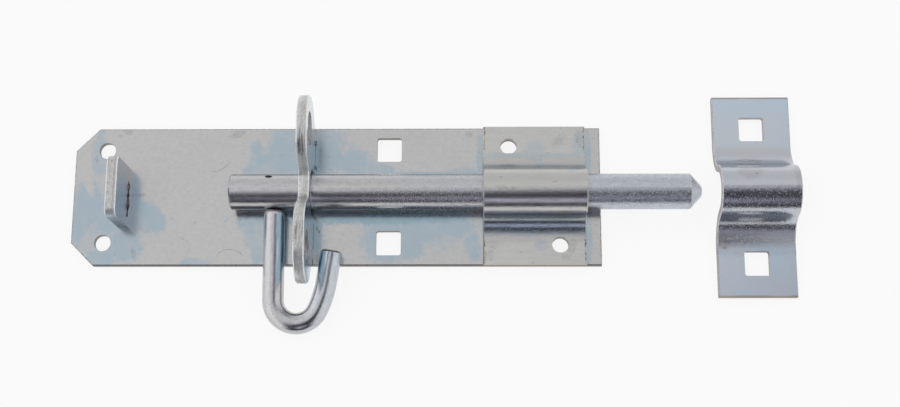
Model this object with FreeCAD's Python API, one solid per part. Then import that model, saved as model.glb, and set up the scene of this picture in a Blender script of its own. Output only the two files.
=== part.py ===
import FreeCAD, Part
import math
import os

# A padbolt and its receiver keep, lying on their backs. X runs along the bar towards its nose,
# Y across the plate, and Z out from the door. The origin is the middle of the plate's back face.
# All lengths are in millimetres and all angles in degrees.

# Back plate: flat strip with two corners cut off at the end-stop end
plate_length = 150.0
plate_width = 40.0
plate_thickness = 2.0
plate_corner_cut = 6.5
edge_break = 0.3

# Fixing holes: round ones for wood screws, square ones for coach bolts
screw_hole_dia = 4.7
end_screw_inset = 9.0
end_screw_edge = 6.5
square_hole = 7.0
square_corner_round = 0.7
plate_square_x = 15.0
plate_square_edge = 6.4

# Round bar with a coned nose, lying on the plate
bar_dia = 10.0
bar_length = 132.0
bar_lift = 0.2
bar_tail = 12.5
bar_end_chamfer = 0.5
nose_length = 3.4
nose_flat_dia = 2.6
nose_round = 1.4
nose_shoulder_round = 0.4
spigot_end_dia = 2.6
spigot_end_depth = 1.0

# Guide saddle: strap arched over the bar and spot welded to the plate
saddle_length = 29.0
saddle_inset = 4.3
saddle_thickness = 1.5
saddle_clearance = 0.3
saddle_bend_round = 5.5
saddle_screw_end = 7.3
saddle_screw_edge = 5.7

# Hasp plate: upright plate with an eye in each ear, tenoned to the back plate over the bar
hasp_x = -7.7
hasp_thickness = 3.0
hasp_height = 22.4
hasp_foot_inset = 2.5
upper_ear_overhang = 5.5
lower_ear_overhang = 7.3
ear_tip_round = 9.5
eye_dia = 9.5
eye_front_wall = 2.65
eye_tip_wall = 5.05
passage_clearance = 1.2
hasp_web = 2.6
notch_clearance = 0.6
notch_side_angle = 60.0
notch_top_round = 7.5
notch_floor_round = 2.0
hasp_tenon_width = 7.0

# End stop: lug that the withdrawn bar meets, tenoned to the back plate
stop_inset = 15.6
stop_thickness = 3.0
stop_width = 17.5
stop_height = 14.0
stop_corner_round = 2.6
stop_tenon_width = 9.0
tenon_clearance = 0.1

# Hook handle: bent rod that stands on the bar and straddles an ear of the hasp plate
hook_rod_dia = 6.0
hook_bend_radius = 6.5
hook_bend_margin = 1.5
hook_flare_radius = 30.0
hook_flare_start = 25.0
hook_flare_end = 9.0
hook_end_reach = 16.6
hook_end_chamfer = 0.5
hook_foot_round = 1.4
hook_foot_clearance = 0.1
hook_play = 0.3
hook_rest_gap = 0.3

# Receiver keep: loose arched strap that takes the nose
keep_length = 58.0
keep_width = 22.0
keep_thickness = 2.0
keep_clearance = 0.4
keep_bend_round = 8.0
keep_square_edge = 9.5
keep_gap = 4.6

# Heights and radii that several pieces share
bar_radius = bar_dia / 2
rod_radius = hook_rod_dia / 2
axis_height = bar_lift + bar_radius
axis_z = plate_thickness + axis_height
X_AXIS = FreeCAD.Vector(1, 0, 0)
Y_AXIS = FreeCAD.Vector(0, 1, 0)
Z_AXIS = FreeCAD.Vector(0, 0, 1)


def on_plate(u, v):
    """Point of an outline drawn on the plate's back face."""
    return FreeCAD.Vector(u, v, 0)


def upright(u, v):
    """Point of an outline drawn across the bar: u is Y and v is height above the back face."""
    return FreeCAD.Vector(0, u, v)


def along_bar(u, v):
    """Point of an outline drawn along the bar: u is X and v is distance from its axis."""
    return FreeCAD.Vector(u, 0, v)


def rounded_face(corners, place):
    """Flat face with straight sides; each corner is (u, v, radius of its rounding)."""
    touches = []
    for index, (u, v, radius) in enumerate(corners):
        before = corners[index - 1]
        after = corners[(index + 1) % len(corners)]
        come = math.atan2(v - before[1], u - before[0])
        leave = math.atan2(after[1] - v, after[0] - u)
        turn = math.remainder(leave - come, 2 * math.pi)
        run = radius * math.tan(abs(turn) / 2)
        start = (u - run * math.cos(come), v - run * math.sin(come))
        end = (u + run * math.cos(leave), v + run * math.sin(leave))
        inward = leave + math.copysign((math.pi - abs(turn)) / 2, turn)
        sag = radius / math.cos(turn / 2) - radius
        middle = (u + sag * math.cos(inward), v + sag * math.sin(inward))
        touches.append((place(*start), place(*middle), place(*end), radius > 0))
    edges = []
    for index, (start, middle, end, is_round) in enumerate(touches):
        if is_round:
            edges.append(Part.Arc(start, middle, end).toShape())
        next_start = touches[(index + 1) % len(touches)][0]
        if end.distanceToPoint(next_start) > Part.Precision.confusion():
            edges.append(Part.LineSegment(end, next_start).toShape())
    return Part.Face(Part.Wire(edges))


def round_hole(x, y, dia, height):
    """Drill that cuts a round hole upwards from the back face."""
    return Part.makeCylinder(dia / 2, height, FreeCAD.Vector(x, y, 0), Z_AXIS)


def square_punch(x, y, height):
    """Punch that cuts a square hole upwards from the back face."""
    half = square_hole / 2
    signs = [(-1, -1), (1, -1), (1, 1), (-1, 1)]
    corners = [(x + half * i, y + half * j, square_corner_round) for i, j in signs]
    return rounded_face(corners, on_plate).extrude(Z_AXIS * height)


def end_edges(solid):
    """Edges round the two ends of a piece drawn across the bar and extruded along it."""
    return [edge for edge in solid.Edges if edge.BoundBox.XLength < edge_break]


def soften(solid, edges):
    """Break the sheared edges of a sheet-metal piece."""
    return solid.makeChamfer(edge_break, edges)


def tenon_block(x, y, thickness, width, spare):
    """Tenon through the plate, or with a spare all round the slot for it."""
    corner = FreeCAD.Vector(x - thickness / 2 - spare, y - width / 2 - spare, 0)
    return Part.makeBox(thickness + 2 * spare, width + 2 * spare, plate_thickness, corner)


# Places worked out from the driving dimensions
plate_left = -plate_length / 2
end_screw_x = plate_left + end_screw_inset
stop_x = plate_left + stop_inset - stop_thickness / 2
saddle_x = plate_length / 2 - saddle_inset - saddle_length / 2
end_screw_y = plate_width / 2 - end_screw_edge
plate_square_y = plate_width / 2 - plate_square_edge
saddle_screw_run = saddle_length / 2 - saddle_screw_end
saddle_screw_y = plate_width / 2 - saddle_screw_edge
saddle_screws = [(saddle_x - saddle_screw_run, saddle_screw_y),
                 (saddle_x + saddle_screw_run, -saddle_screw_y)]
passage_radius = bar_radius + passage_clearance
hasp_foot = plate_width / 2 - hasp_foot_inset
hasp_tenon_y = (passage_radius + hasp_foot) / 2
ear_ends = {1: plate_width / 2 + upper_ear_overhang, -1: plate_width / 2 + lower_ear_overhang}
eye_z = plate_thickness + hasp_height - eye_front_wall - eye_dia / 2
tenons = [(stop_x, 0.0, stop_thickness, stop_tenon_width),
          (hasp_x, hasp_tenon_y, hasp_thickness, hasp_tenon_width),
          (hasp_x, -hasp_tenon_y, hasp_thickness, hasp_tenon_width)]


def make_back_plate():
    right = plate_length / 2
    half = plate_width / 2
    cut = plate_corner_cut
    outline = [(plate_left + cut, -half, 0), (right, -half, 0), (right, half, 0),
               (plate_left + cut, half, 0), (plate_left, half - cut, 0), (plate_left, cut - half, 0)]
    plate = rounded_face(outline, on_plate).extrude(Z_AXIS * plate_thickness)
    front = [edge for edge in plate.Edges if edge.CenterOfMass.z > plate_thickness - edge_break]
    plate = soften(plate, front)
    for side in (-1, 1):
        plate = plate.cut(round_hole(end_screw_x, side * end_screw_y, screw_hole_dia, plate_thickness))
        plate = plate.cut(square_punch(plate_square_x, side * plate_square_y, plate_thickness))
    for x, y in saddle_screws:
        plate = plate.cut(round_hole(x, y, screw_hole_dia, plate_thickness))
    for x, y, thickness, width in tenons:
        plate = plate.cut(tenon_block(x, y, thickness, width, tenon_clearance))
    return plate


def raise_sheet(outline, x, thickness):
    """Upright sheet-metal piece with softened edges, except where its foot meets the plate."""
    sheet = rounded_face(outline, upright).extrude(X_AXIS * thickness)
    sheet.translate(FreeCAD.Vector(x - thickness / 2, 0, 0))
    rim = [edge for edge in end_edges(sheet) if edge.CenterOfMass.z > plate_thickness + edge_break]
    return soften(sheet, rim)


def make_end_stop():
    half = stop_width / 2
    top = plate_thickness + stop_height
    outline = [(-half, plate_thickness, 0), (half, plate_thickness, 0),
               (half, top, stop_corner_round), (-half, top, stop_corner_round)]
    stop = raise_sheet(outline, stop_x, stop_thickness)
    return stop.fuse(tenon_block(*tenons[0], 0)).removeSplitter()


def ear_corner(ear_end):
    """Sharp corner of an ear, where its slanting side meets its front edge before rounding."""
    tip_run = ear_end - ear_tip_round - hasp_foot
    tip_height = hasp_height - ear_tip_round
    reach = math.hypot(tip_run, tip_height)
    slant = math.atan2(tip_height, tip_run) - math.asin(ear_tip_round / reach)
    return hasp_foot + hasp_height / math.tan(slant)


def make_hasp_plate():
    base = plate_thickness
    top = base + hasp_height
    floor = axis_z + passage_radius + hasp_web
    notch_foot = (hook_rod_dia + notch_clearance) / 2
    notch_top = notch_foot + (top - floor) / math.tan(math.radians(notch_side_angle))
    arch_top = axis_z + passage_radius

    def half_outline(side, ear_end):
        """One half, from the foot of the arch round the ear to the floor of the notch."""
        half = [(passage_radius, base, 0), (hasp_foot, base, 0), (ear_corner(ear_end), top, ear_tip_round),
                (notch_top, top, notch_top_round), (notch_foot, floor, notch_floor_round)]
        return [(side * y, z, rounding) for y, z, rounding in half]

    upper, lower = [half_outline(side, ear_end) for side, ear_end in ear_ends.items()]
    arch = [(-passage_radius, arch_top, passage_radius), (passage_radius, arch_top, passage_radius)]
    plate = raise_sheet(upper + lower[::-1] + arch, hasp_x, hasp_thickness)
    for side, ear_end in ear_ends.items():
        eye_y = ear_end - eye_tip_wall - eye_dia / 2
        eye_at = FreeCAD.Vector(hasp_x - hasp_thickness / 2, side * eye_y, eye_z)
        plate = plate.cut(Part.makeCylinder(eye_dia / 2, hasp_thickness, eye_at, X_AXIS))
    for tenon in tenons[1:]:
        plate = plate.fuse(tenon_block(*tenon, 0))
    return plate.removeSplitter()


def arched_strap(base, thickness, bore, bend_round, half_span, x, length):
    """Strap bent over the bar like the letter omega, with flat flanges at both sides.

    Its sides stand upright, or lean as far as they must for the bends at their feet to fit.
    """
    outer = bore + thickness
    top = base + thickness
    lean = math.acos(max(0.0, 1 - (axis_z + outer - top) / (outer + bend_round)))

    def side(radius, foot_z, foot_round):
        """Foot and shoulder of a side that touches the arch of this radius."""
        foot = (radius + (axis_z - foot_z) * math.cos(lean)) / math.sin(lean)
        return [(foot, foot_z, foot_round), (radius * math.tan(lean / 2), axis_z + radius, radius)]

    right = [(half_span, base, 0), (half_span, top, 0)] + side(outer, top, bend_round)
    left = [(-y, z, rounding) for y, z, rounding in reversed(right)]
    under_right = side(bore, base, bend_round + thickness)
    under = [(-y, z, rounding) for y, z, rounding in under_right] + under_right[::-1]
    strap = rounded_face(right + left + under, upright).extrude(X_AXIS * length)
    strap.translate(FreeCAD.Vector(x - length / 2, 0, 0))
    crown = axis_z + bore + thickness / 2
    return soften(strap, [edge for edge in end_edges(strap) if edge.BoundBox.ZMax > crown])


def make_guide_saddle():
    saddle = arched_strap(plate_thickness, saddle_thickness, bar_radius + saddle_clearance,
                          saddle_bend_round, plate_width / 2, saddle_x, saddle_length)
    drill_depth = plate_thickness + saddle_thickness
    for x, y in saddle_screws:
        saddle = saddle.cut(round_hole(x, y, screw_hole_dia, drill_depth))
    return saddle


# Where the hook stands: its outer leg just clears the longer ear's tip as the hook turns past it
ear_tip_y = max(ear_ends.values()) - ear_tip_round
ear_tip_z = hasp_height - ear_tip_round - axis_height
ear_reach = math.hypot(ear_tip_y, ear_tip_z) + ear_tip_round
bend_reach = ear_reach + hook_bend_margin
flare_in = math.radians(hook_flare_start)
flare_out = math.radians(hook_flare_end)
bend_end_x = hook_bend_radius * (1 + math.cos(flare_in))
bend_end_reach = bend_reach + hook_bend_radius * math.sin(flare_in)
flare_x = bend_end_x - hook_flare_radius * math.cos(flare_in)
flare_reach = bend_end_reach - hook_flare_radius * math.sin(flare_in)
leg_gap = flare_x + math.sqrt((hook_flare_radius - rod_radius) ** 2 - (ear_reach - flare_reach) ** 2)
hook_x = hasp_x + hasp_thickness / 2 + hook_play - leg_gap
bar_x = hook_x - bar_tail
nose_x = bar_x + bar_length


def hook_droop():
    """Angle below level at which the hook comes to rest on the plate's long edge."""
    edge_y = plate_width / 2
    reach = math.hypot(axis_height, edge_y)
    level = math.acos((rod_radius + hook_rest_gap) / reach)
    return math.degrees(level - math.atan2(edge_y, axis_height))


def make_bolt_bar():
    shoulder = bar_length - nose_length
    profile = [(0, 0, 0), (0, bar_radius - bar_end_chamfer, 0), (bar_end_chamfer, bar_radius, 0),
               (shoulder, bar_radius, nose_shoulder_round),
               (bar_length, nose_flat_dia / 2, nose_round), (bar_length, 0, 0)]
    bar = rounded_face(profile, along_bar).revolve(FreeCAD.Vector(0, 0, 0), X_AXIS, 360)
    far_mouth = FreeCAD.Vector(bar_tail, bar_radius - spigot_end_depth, 0)
    recess = Part.makeCylinder(spigot_end_dia / 2, spigot_end_depth, far_mouth, Y_AXIS)
    recess.rotate(FreeCAD.Vector(0, 0, 0), X_AXIS, hook_droop())
    bar = bar.cut(recess)
    bar.translate(FreeCAD.Vector(bar_x, 0, axis_z))
    return bar


def make_hook_handle():
    foot = bar_radius + hook_foot_clearance

    def lay(x, reach):
        return FreeCAD.Vector(x, -reach, 0)

    def on_arc(centre_x, centre_reach, radius, angle):
        return lay(centre_x + radius * math.cos(angle), centre_reach + radius * math.sin(angle))

    bend = [on_arc(hook_bend_radius, bend_reach, hook_bend_radius, angle)
            for angle in (math.pi, (math.pi + flare_in) / 2, flare_in)]
    flare = [on_arc(flare_x, flare_reach, hook_flare_radius, angle)
             for angle in (flare_in, (flare_in + flare_out) / 2, flare_out)]
    end_run = (-flare[-1].y - hook_end_reach) / math.cos(flare_out)
    tip = flare[-1] + FreeCAD.Vector(math.sin(flare_out), math.cos(flare_out), 0) * end_run
    path = Part.Wire([Part.LineSegment(lay(0, foot), bend[0]).toShape(), Part.Arc(*bend).toShape(),
                      Part.Arc(*flare).toShape(), Part.LineSegment(flare[-1], tip).toShape()])
    section = Part.Wire(Part.makeCircle(rod_radius, lay(0, foot), Y_AXIS))
    rod = path.makePipeShell([section], True, True)

    def rim(end):
        return [edge for edge in rod.Edges if edge.CenterOfMass.distanceToPoint(end) < rod_radius / 2]

    rod = rod.makeFillet(hook_foot_round, rim(lay(0, foot)))
    rod = rod.makeChamfer(hook_end_chamfer, rim(tip))
    rod.rotate(FreeCAD.Vector(0, 0, 0), X_AXIS, hook_droop())
    rod.translate(FreeCAD.Vector(hook_x, 0, axis_z))
    return rod


def make_receiver_keep():
    keep_x = nose_x + keep_gap + keep_width / 2
    keep = arched_strap(0, keep_thickness, bar_radius + keep_clearance, keep_bend_round,
                        keep_length / 2, keep_x, keep_width)
    keep_square_y = keep_length / 2 - keep_square_edge
    for side in (-1, 1):
        keep = keep.cut(square_punch(keep_x, side * keep_square_y, keep_thickness))
    return keep


pieces = {
    "back_plate": make_back_plate(),
    "end_stop": make_end_stop(),
    "hasp_plate": make_hasp_plate(),
    "guide_saddle": make_guide_saddle(),
    "bolt_bar": make_bolt_bar(),
    "hook_handle": make_hook_handle(),
    "receiver_keep": make_receiver_keep(),
}

os.makedirs("parts", exist_ok=True)
for name, shape in pieces.items():
    shape.exportStep("parts/" + name + ".step")
    box = shape.BoundBox
    print(name, "solids", len(shape.Solids), "valid", shape.isValid(), "volume", round(shape.Volume, 1),
          "x", round(box.XMin, 2), round(box.XMax, 2), "y", round(box.YMin, 2), round(box.YMax, 2),
          "z", round(box.ZMin, 2), round(box.ZMax, 2))
print("hook stands at x", round(hook_x, 2), "and droops", round(hook_droop(), 2), "degrees")
print("bar from", round(bar_x, 2), "to", round(nose_x, 2), "throw to the stop",
      round(bar_x - stop_x - stop_thickness / 2, 2))
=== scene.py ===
# %% [markdown]
# # A zinc plated padbolt and its keep
# This lesson dresses the solids of a padbolt: a flat plate, a sliding bar with a hook handle, an upright
# hasp plate for a padlock, a strap that guides the bar, and a loose keep that goes on the door frame.
# The solids already have the right shapes and places, so the lesson is about light, plating and wear.
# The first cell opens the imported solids. Everything is in metres, X runs along the bar, Y across the
# plate, and Z out from the door.

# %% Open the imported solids
import math
import bpy
from mathutils import Euler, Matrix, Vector


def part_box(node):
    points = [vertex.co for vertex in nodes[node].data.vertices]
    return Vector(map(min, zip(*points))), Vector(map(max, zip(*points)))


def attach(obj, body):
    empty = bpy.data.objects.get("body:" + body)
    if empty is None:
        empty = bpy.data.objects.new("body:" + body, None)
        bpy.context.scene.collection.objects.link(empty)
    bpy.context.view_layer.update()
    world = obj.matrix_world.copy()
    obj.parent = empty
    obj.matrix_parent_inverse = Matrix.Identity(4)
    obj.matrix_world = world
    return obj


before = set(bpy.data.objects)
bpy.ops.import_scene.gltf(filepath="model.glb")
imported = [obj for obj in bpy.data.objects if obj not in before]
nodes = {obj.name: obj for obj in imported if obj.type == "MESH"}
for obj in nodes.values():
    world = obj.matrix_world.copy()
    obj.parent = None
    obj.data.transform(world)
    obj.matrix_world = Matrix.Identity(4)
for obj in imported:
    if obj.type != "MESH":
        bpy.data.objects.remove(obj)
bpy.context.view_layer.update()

MM = 0.001
print("solids:", sorted(nodes))

# %% [markdown]
# ## The camera
# The photograph was taken from nearly straight above, a little from the keep's end and from below the
# plate, so that the lower walls show. A camera could be placed by eye, but straight edges and holes of
# known size let it be worked out, and then every piece lands where it should.

# %% Set the camera
CAMERA_PLACE_MM = (39.69, -95.10, 395.85)
CAMERA_TURN_DEG = (13.278, 1.029, 0.164)
CAMERA_LENS = 57.117

camera_data = bpy.data.cameras.new("studio_camera")
camera_data.lens = CAMERA_LENS
camera_data.sensor_width = 36.0
camera_data.dof.use_dof = False
camera_data.clip_start = 0.01
camera_data.clip_end = 50.0
camera = bpy.data.objects.new("studio_camera", camera_data)
camera.location = Vector(CAMERA_PLACE_MM) * MM
camera.rotation_euler = Euler([math.radians(angle) for angle in CAMERA_TURN_DEG])
bpy.context.scene.collection.objects.link(camera)
bpy.context.scene.camera = camera
bpy.context.scene.view_settings.view_transform = "Standard"
print("camera at", [round(value, 4) for value in camera.location], "lens", CAMERA_LENS)

# %% [markdown]
# ## Small helpers for node trees
# Materials, light and geometry are all trees of nodes here. A few short helpers keep the cells readable:
# some add a node and set or link its inputs, some add sums, mixes and soft steps, and one opens a new
# group with named sockets.


# %% Helpers for node trees
def feed(tree, node, inputs):
    """Sets each input to a value, or links it if the value is an output socket."""
    for name, value in inputs.items():
        if isinstance(value, bpy.types.NodeSocket):
            tree.links.new(value, node.inputs[name])
        else:
            node.inputs[name].default_value = value


def add(tree, kind, inputs=None, **settings):
    """Adds a node with its settings and inputs."""
    node = tree.nodes.new(kind)
    for name, value in settings.items():
        setattr(node, name, value)
    feed(tree, node, inputs or {})
    return node


def sum_of(tree, operation, *values):
    """Adds a Math node and returns its output."""
    return add(tree, "ShaderNodeMath", dict(enumerate(values)), operation=operation).outputs[0]


def times(tree, one, other):
    """Adds a Math node that multiplies two values or masks."""
    return sum_of(tree, "MULTIPLY", one, other)


def more(tree, value, mask, by):
    """A value raised by so much where the mask is."""
    return sum_of(tree, "MULTIPLY_ADD", mask, by, value)


def arrow(tree, operation, *values):
    """Adds a Vector Math node and returns its output, a number for lengths and dot products."""
    node = add(tree, "ShaderNodeVectorMath", dict(enumerate(values)), operation=operation)
    return node.outputs["Value" if operation in ("LENGTH", "DISTANCE", "DOT_PRODUCT") else "Vector"]


def split_up(tree, vector):
    """Adds a Separate XYZ node and returns its outputs."""
    return add(tree, "ShaderNodeSeparateXYZ", {"Vector": vector}).outputs


def step(tree, value, low, high, to_low=0.0, to_high=1.0):
    """Soft step from one value to another while the input goes from low to high."""
    ends = {"Value": value, "From Min": low, "From Max": high, "To Min": to_low, "To Max": to_high}
    return add(tree, "ShaderNodeMapRange", ends, interpolation_type="SMOOTHSTEP").outputs["Result"]


def blend(tree, share, under, over):
    """Mixes two colours; a colour mix takes its share at socket 0 and its colours at 6 and 7."""
    return add(tree, "ShaderNodeMix", {0: share, 6: under, 7: over}, data_type="RGBA").outputs[2]


def new_group(name, kind, takes, gives):
    """Opens a node group; takes and gives list each socket's name, type and default."""
    tree = bpy.data.node_groups.new(name, kind)
    for way, sockets in (("INPUT", takes), ("OUTPUT", gives)):
        for label, socket_type, default in sockets:
            socket = tree.interface.new_socket(label, in_out=way, socket_type=socket_type)
            if default is not None:
                socket.default_value = default
    entry = tree.nodes.new("NodeGroupInput")
    leave = tree.nodes.new("NodeGroupOutput")
    return tree, entry.outputs, leave


print("helpers ready")

# %% [markdown]
# ## The light
# Bright metal shows its surroundings: a white tent all round, which fades to a dark opening on the near
# side, where the camera looks in. Lamps alone would leave black gaps in the reflections, so the tent is
# painted on the world by direction. Each direction is given by its lean, the angle from straight up
# towards the near side, and its side, which is X. A spot of light is a soft ellipse in those two numbers.

# %% Start the tent
WHITE = (1.0, 1.0, 1.0, 1.0)

world = bpy.data.worlds.new("light_tent")
bpy.context.scene.world = world
world.use_nodes = True
tent = world.node_tree
tent.nodes.clear()
aim = split_up(tent, add(tent, "ShaderNodeTexCoord").outputs["Generated"])
near_side = times(tent, aim["Y"], -1.0)
lean = sum_of(tent, "ARCTAN2", near_side, aim["Z"])


def tent_spot(lean_deg, side, lean_reach_deg, side_reach, light):
    """Soft spot of light on the tent, strongest at its centre."""
    off_lean = sum_of(tent, "SUBTRACT", lean, math.radians(lean_deg))
    along = sum_of(tent, "DIVIDE", off_lean, math.radians(lean_reach_deg))
    across = sum_of(tent, "DIVIDE", sum_of(tent, "SUBTRACT", aim["X"], side), side_reach)
    both = add(tent, "ShaderNodeCombineXYZ", {"X": along, "Y": across}).outputs["Vector"]
    return step(tent, arrow(tent, "LENGTH", both), 0.0, 1.0, light, 0.0)


print("world", world.name)

# %% [markdown]
# ## Walls, opening and windows
# Every band on the metal is a band on the tent. The walls are brighter towards both sides and have a faint
# seam at the back, and the opening's edge runs askew. Inside it a few soft windows give the bar and the
# straps their bright lines. Moving lamps would shift all bands at once; here each has its own numbers.
# A spot's are its lean and side, its reach in both, and its light.

# %% Paint the tent
TENT_LIGHT = 0.90
LEFT_GAIN = 0.27
LEFT_RUN = (-0.75, -0.25)
RIGHT_GAIN = 0.14
RIGHT_RUN = (0.25, 0.9)
RIGHT_FALL = -0.045
FALL_RUN = (-0.22, 0.12)
BACK_SEAM = (-55.0, 0.0, 45.0, 3.0, -0.12)
OPENING_LIGHT = 0.04
OPENING_TINT = (0.92, 0.90, 1.10, 1.0)
OPENING_MIDDLE = 0.03
OPENING_SIDES = (0.32, 0.54)
EDGE_LEAN_DEG = 9.0
EDGE_SOFT_DEG = 16.0
EDGE_SKEW_DEG = 58.0
WINDOWS = [(61.0, 0.04, 11.0, 0.14, 1.05), (52.0, 0.15, 13.0, 0.18, 0.30), (51.0, 0.03, 11.0, 0.10, 1.25)]

gain = sum_of(tent, "ADD", step(tent, aim["X"], *LEFT_RUN, LEFT_GAIN, 0.0),
              step(tent, aim["X"], *RIGHT_RUN, 0.0, RIGHT_GAIN))
gain = sum_of(tent, "ADD", gain, step(tent, aim["X"], *FALL_RUN, 0.0, RIGHT_FALL))
bright = sum_of(tent, "ADD", sum_of(tent, "ADD", gain, TENT_LIGHT), tent_spot(*BACK_SEAM))
edge_lean = more(tent, lean, aim["X"], by=math.radians(EDGE_SKEW_DEG))
near = step(tent, edge_lean, math.radians(EDGE_LEAN_DEG - EDGE_SOFT_DEG),
            math.radians(EDGE_LEAN_DEG + EDGE_SOFT_DEG))
aside = sum_of(tent, "ABSOLUTE", sum_of(tent, "SUBTRACT", aim["X"], OPENING_MIDDLE))
opening = times(tent, near, step(tent, aside, *OPENING_SIDES, 1.0, 0.0))
walls = more(tent, bright, opening, by=sum_of(tent, "SUBTRACT", OPENING_LIGHT, bright))
glare = tent_spot(*WINDOWS[0])
for spot in WINDOWS[1:]:
    glare = sum_of(tent, "ADD", glare, tent_spot(*spot))
strength = sum_of(tent, "ADD", walls, glare)
tint = blend(tent, opening, WHITE, OPENING_TINT)
backdrop = add(tent, "ShaderNodeBackground", {"Color": tint, "Strength": strength})
add(tent, "ShaderNodeOutputWorld", {"Surface": backdrop.outputs["Background"]})
print("tent light", TENT_LIGHT, "opening", OPENING_LIGHT, "windows", len(WINDOWS))

# %% [markdown]
# ## The floor
# The padbolt lies on a plain white sheet. A white floor in soft light still renders a little grey, so
# the sheet glows for the camera and for reflections only, and keeps the shadow that falls on it.

# %% Lay the floor
FLOOR_HALF = 6.0
FLOOR_DROP = 0.05 * MM
FLOOR_GLOW = 0.885
PAPER = (0.10, 0.10, 0.10, 1.0)

floor_mesh = bpy.data.meshes.new("floor")
corners = [(-1, -1), (1, -1), (1, 1), (-1, 1)]
floor_points = [(x * FLOOR_HALF, y * FLOOR_HALF, -FLOOR_DROP) for x, y in corners]
floor_mesh.from_pydata(floor_points, [], [(0, 1, 2, 3)])
floor = bpy.data.objects.new("floor", floor_mesh)
bpy.context.scene.collection.objects.link(floor)

sheet = bpy.data.materials.new("white_sheet")
sheet.use_nodes = True
tree = sheet.node_tree
tree.nodes.clear()
ray = add(tree, "ShaderNodeLightPath").outputs
seen = sum_of(tree, "MAXIMUM", ray["Is Camera Ray"], ray["Is Glossy Ray"])
seen = sum_of(tree, "MAXIMUM", seen, ray["Is Transmission Ray"])
glow = add(tree, "ShaderNodeEmission", {"Color": WHITE, "Strength": times(tree, seen, FLOOR_GLOW)})
paper = add(tree, "ShaderNodeBsdfDiffuse", {"Color": PAPER})
both = add(tree, "ShaderNodeAddShader", {0: paper.outputs["BSDF"], 1: glow.outputs["Emission"]})
add(tree, "ShaderNodeOutputMaterial", {"Surface": both.outputs["Shader"]})
floor_mesh.materials.append(sheet)
print("floor", 2 * FLOOR_HALF, "m square")

# %% [markdown]
# ## Stains in the plating
# Bright zinc is dipped in a blue passivate and drains unevenly, which leaves bluish patches with crooked,
# angular edges. A picture could be painted for that, but a rule is lighter and works at any size: a patch
# is an ellipse whose edge is pushed in and out by slow and fine noise, and by a random number for each
# crooked cell. The same group with other values also makes scuffs. Places are in millimetres.

# %% A group for ragged patches
VECTOR = "NodeSocketVector"
FLOAT = "NodeSocketFloat"
CELLS_PER_MM = 0.30
CELL_PUSH = 0.5
CROOKED_MM = (2.2, 2.2, 0.0)
FRAY_PER_MM = 0.9
FRAY_PUSH = 1.2
SWAY_PER_MM = 0.22
SWAY_PUSH = 1.6
PUSH_BACK = -1.65
PATCH_EDGE = (0.60, 1.18)


def noise(tree, place, scale, detail=2.0, roughness=0.55):
    """Smooth noise between nought and one; scale is in bumps for each millimetre."""
    inputs = {"Vector": place, "Scale": scale, "Detail": detail, "Roughness": roughness}
    return add(tree, "ShaderNodeTexNoise", inputs)


stain_patch, takes, leave = new_group(
    "stain_patch", "ShaderNodeTree",
    [("Place", VECTOR, None), ("Centre", VECTOR, (0.0, 0.0, 0.0)), ("Reach", VECTOR, (5.0, 5.0, 50.0)),
     ("Turn", FLOAT, 0.0), ("Ragged", FLOAT, 0.4)],
    [("Mask", FLOAT, None)])
tree = stain_patch
away = arrow(tree, "SUBTRACT", takes["Place"], takes["Centre"])
turning = {"Vector": away, "Angle": takes["Turn"]}
turned = add(tree, "ShaderNodeVectorRotate", turning, rotation_type="Z_AXIS")
gap = arrow(tree, "LENGTH", arrow(tree, "DIVIDE", turned.outputs["Vector"], takes["Reach"]))
fray = noise(tree, takes["Place"], FRAY_PER_MM)
crooked = arrow(tree, "ADD", takes["Place"], arrow(tree, "MULTIPLY", fray.outputs["Color"], CROOKED_MM))
cells = add(tree, "ShaderNodeTexVoronoi", {"Vector": crooked, "Scale": CELLS_PER_MM})
chance = add(tree, "ShaderNodeSeparateColor", {"Color": cells.outputs["Color"]}).outputs["Red"]
sway = noise(tree, takes["Place"], SWAY_PER_MM).outputs["Fac"]
slow_push = more(tree, times(tree, sway, SWAY_PUSH), chance, by=CELL_PUSH)
fine_push = more(tree, PUSH_BACK, fray.outputs["Fac"], by=FRAY_PUSH)
edge = more(tree, gap, sum_of(tree, "ADD", slow_push, fine_push), by=takes["Ragged"])
feed(tree, leave, {"Mask": step(tree, edge, *PATCH_EDGE, 1.0, 0.0)})
print("group", stain_patch.name, "cell size in mm", round(1.0 / CELLS_PER_MM, 1))

# %% [markdown]
# ## Scratches
# A hair scratch is a thin line, here an arc: how far a point lies from a circle gives the line, the way
# it faces from the centre gives the arc's ends, and noise breaks the line up. A large circle gives a
# nearly straight scratch. Cutting real grooves would need far more faces than such a faint line is worth.

# %% A group for scratched arcs
SHAKE_PER_MM = 0.35
ARC_END = 0.03
BREAKS_PER_MM = 1.4
BREAK_RUN = (0.34, 0.52)

scratch_arc, takes, leave = new_group(
    "scratch_arc", "ShaderNodeTree",
    [("Place", VECTOR, None), ("Centre", VECTOR, (0.0, 0.0, 0.0)), ("Radius", FLOAT, 4.0),
     ("Facing", VECTOR, (1.0, 0.0, 0.0)), ("Spread", FLOAT, 0.7), ("Width", FLOAT, 0.16)],
    [("Mask", FLOAT, None)])
tree = scratch_arc
away = arrow(tree, "SUBTRACT", takes["Place"], takes["Centre"])
flat = arrow(tree, "MULTIPLY", away, (1.0, 1.0, 0.0))
shake = sum_of(tree, "SUBTRACT", noise(tree, takes["Place"], SHAKE_PER_MM).outputs["Fac"], 0.5)
off = sum_of(tree, "SUBTRACT", sum_of(tree, "ADD", arrow(tree, "LENGTH", flat), shake), takes["Radius"])
line = step(tree, sum_of(tree, "ABSOLUTE", off), 0.0, takes["Width"], 1.0, 0.0)
ahead = arrow(tree, "DOT_PRODUCT", arrow(tree, "NORMALIZE", flat), takes["Facing"])
within = step(tree, sum_of(tree, "SUBTRACT", ahead, takes["Spread"]), 0.0, ARC_END)
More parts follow.
